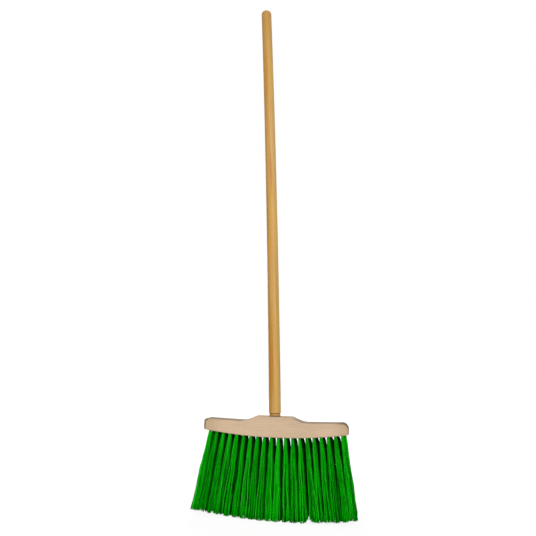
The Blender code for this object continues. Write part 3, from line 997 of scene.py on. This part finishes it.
def shade_inside(column, lines, depths, own_shade):
    """How much painted shade each filament has at each depth, from 0 on the brush's outside to 1
    deep inside.
    """
    down = bristle_share(depths)
    packed = HOLE_DIAMETER / 2 - FIT_GAP
    tips_out_y = ROW_SPLAY + tip_half_y * END_REACH_ACROSS[0]
    outside_y = OUTER_ROW_Y + packed + (tips_out_y - packed) * down
    inwards = outside_y - np.abs(lines[..., 1])
    strength = np.minimum(between(INNER_SHADES, down**0.5), 1)
    outward = outward_side(column, COLUMN_COUNT)
    if outward:
        outside_x = between((packed, tip_half_x * END_REACH_ALONG[outward > 0]), down)
        inwards = np.minimum(inwards, np.maximum(outside_x - outward * lines[..., 0], 0))
        strength = strength * END_SHADE_SHARE
    inner = np.clip(inwards / between(LIT_DEPTHS, down), 0, 1) * strength
    own = own_shade[:, None] * np.clip(down * STREAK_ONSET, 0, 1)
    deepest = between(DEEPEST_SHADES, np.clip(down * DEEPEST_SHADE_ONSET, 0, 1))
    return np.clip(inner + own, 0, deepest)


def tube_faces(count, stations):
    """Faces of tubes whose points run by tube, then by station from the first, then round it."""
    faces = []
    for tube in range(count):
        first = tube * stations * FILAMENT_SIDES
        last = first + (stations - 1) * FILAMENT_SIDES
        for low in range(first, last, FILAMENT_SIDES):
            high = low + FILAMENT_SIDES
            for side in range(FILAMENT_SIDES):
                after = (side + 1) % FILAMENT_SIDES
                faces.append((low + side, high + side, high + after, low + after))
        faces.append(tuple(range(first, first + FILAMENT_SIDES)))
        faces.append(tuple(reversed(range(last, last + FILAMENT_SIDES))))
    return faces


def tuft_mesh(name, column, row):
    """Every filament of a tuft, each one closed tube from inside its hole to its tip.

    The filaments' lines are in their column's frame: filament, depth, then X and Y. They stay
    inside the CAD model's box.
    """
    draw = np.random.default_rng((FILAMENT_SEED, column, row))
    depths = np.concatenate([[-ROOT_DEPTH], np.array(STATION_SHARES) * BRISTLE_LENGTH])
    roots = filament_roots(draw, FILAMENTS_PER_TUFT[row])
    tips, clumps = filament_tips(draw, column, row, roots)
    lines = waved(draw, flared_lines(column, row, roots, tips, depths), clumps, depths)
    stand_x, stand_y, splay = row_place(row)
    lines[..., 0] += stand_x * (1 - bristle_share(depths))
    lines[..., 1] += stand_y + splay * depths
    count, stations = lines.shape[:2]
    down = np.broadcast_to(depths, (count, stations)).copy()
    down[:, -1] -= tip_cuts(draw, column, tips, clumps)
    tone, own_shade = filament_looks(draw, tips, clumps)
    centres = np.concatenate([lines, -down[..., None]], axis=2)
    corner = math.tau * np.arange(FILAMENT_SIDES) / FILAMENT_SIDES
    ring = np.stack([np.cos(corner), np.sin(corner), 0 * corner], axis=1)
    radius = FILAMENT_DIAMETER / 2 * (1 + TIP_WIDENING * bristle_share(depths))
    points = (centres[:, :, None] + ring[None, None] * radius[None, :, None, None]).reshape(-1, 3)
    matrix = np.array(column_matrix(column))
    points = points @ matrix[:3, :3].T + matrix[:3, 3]
    points = np.clip(points, np.array(cad_low), np.array(cad_high))
    mesh = bpy.data.meshes.new(name)
    mesh.from_pydata(points.tolist(), [], tube_faces(count, stations))
    shade = shade_inside(column, lines, depths, own_shade)
    for attribute, values in (("tone", np.repeat(tone, stations)), ("shade", shade.reshape(-1))):
        kept = mesh.attributes.new(attribute, "FLOAT", "POINT")
        kept.data.foreach_set("value", np.repeat(values, FILAMENT_SIDES).astype(np.float32))
    mesh.shade_smooth()
    return mesh


def make_tufts():
    finish = green_filament()
    for column in range(COLUMN_COUNT):
        for row, row_name in enumerate(ROW_NAMES):
            name = f"tuft_{column + 1:02d}_{row_name}"
            tuft = new_object(name, tuft_mesh(name, column, row), finish)
            place_piece(tuft, "bristles", f"tuft_column_{column + 1:02d}")


def seen_directly(tree):
    """1 for rays from the camera and for reflected or refracted ones, and 0 for the others."""
    rays = add_node(tree, "ShaderNodeLightPath", {}).outputs
    seen = rays["Is Camera Ray"]
    for other in (rays["Is Glossy Ray"], rays["Is Transmission Ray"]):
        larger = add_node(tree, "ShaderNodeMath", {0: seen, 1: other}, operation="MAXIMUM")
        seen = larger.outputs[0]
    return seen


def make_world():
    """Plain dim light from all round, and a white background where the world is seen directly."""
    world = bpy.data.worlds.new("studio")
    bpy.context.scene.world = world
    world.use_nodes = True
    tree = world.node_tree
    plain = tree.nodes["Background"]
    plain.inputs["Color"].default_value = WHITE
    plain.inputs["Strength"].default_value = AMBIENT_LEVEL
    white = add_node(tree, "ShaderNodeBackground", {"Color": WHITE, "Strength": 1.0})
    shaders = {0: seen_directly(tree), 1: plain.outputs[0], 2: white.outputs[0]}
    mixed = add_node(tree, "ShaderNodeMixShader", shaders)
    tree.links.new(mixed.outputs[0], tree.nodes["World Output"].inputs["Surface"])


def make_floor():
    """A pale floor that looks white and keeps a faint shadow of the broom."""
    bm = bmesh.new()
    bmesh.ops.create_grid(bm, x_segments=1, y_segments=1, size=FLOOR_HALF_SIDE)
    constants = {"Base Color": FLOOR_GREY, "Roughness": 1.0, "Specular IOR Level": 0.0}
    made = Finish("pale_floor", constants)
    away = made.vector("LENGTH", made.object_place())
    glow_shares = dict(enumerate((away, *SHADOW_REACH, FLOOR_GLOW_SHARE, 1.0)))
    glow_share = made.node("ShaderNodeMapRange", glow_shares).outputs[0]
    glow = made.node("ShaderNodeEmission", {"Color": WHITE, "Strength": FLOOR_GLOW})
    share = made.math("MULTIPLY", seen_directly(made.tree), glow_share)
    shaders = {0: share, 1: made.shader.outputs[0], 2: glow.outputs[0]}
    mixed = made.node("ShaderNodeMixShader", shaders)
    made.tree.links.new(mixed.outputs[0], made.tree.nodes["Material Output"].inputs["Surface"])
    floor = new_object("floor", solid_mesh("floor", bm), made.material)


def make_lamps():
    """Soft lamps that point at the broom. Their energy grows with the square of the distance."""
    for name, (azimuth, elevation, distance, width, level) in LAMPS.items():
        turn, rise = math.radians(azimuth), math.radians(elevation)
        x, y = math.sin(turn) * math.cos(rise), -math.cos(turn) * math.cos(rise)
        out = Vector((x, y, math.sin(rise)))
        data = bpy.data.lights.new(name, "AREA")
        data.size = width
        data.energy = math.pi**2 * distance**2 * level
        lamp = bpy.data.objects.new(name, data)
        bpy.context.scene.collection.objects.link(lamp)
        lamp.location = LAMP_AIM + out * distance
        lamp.rotation_euler = (-out).to_track_quat("-Z", "Y").to_euler()
        lamp.visible_camera = False


def make_camera():
    data = bpy.data.cameras.new("camera")
    data.sensor_width = SENSOR_MILLIMETRES
    data.lens = SENSOR_MILLIMETRES * FOCAL_PIXELS / PICTURE_SIDE_PIXELS
    camera = bpy.data.objects.new("camera", data)
    bpy.context.scene.collection.objects.link(camera)
    forward = CAMERA_FORWARD.normalized()
    right = forward.cross(CAMERA_UP).normalized()
    up = right.cross(forward)
    turn = Matrix((right, up, -forward)).transposed().to_4x4()
    camera.matrix_world = Matrix.Translation(CAMERA_PLACE) @ turn
    bpy.context.scene.camera = camera


make_block()
make_handle()
make_nail()
make_tufts()
make_world()
make_floor()
make_lamps()
make_camera()
bpy.context.scene.view_settings.view_transform = "Standard"
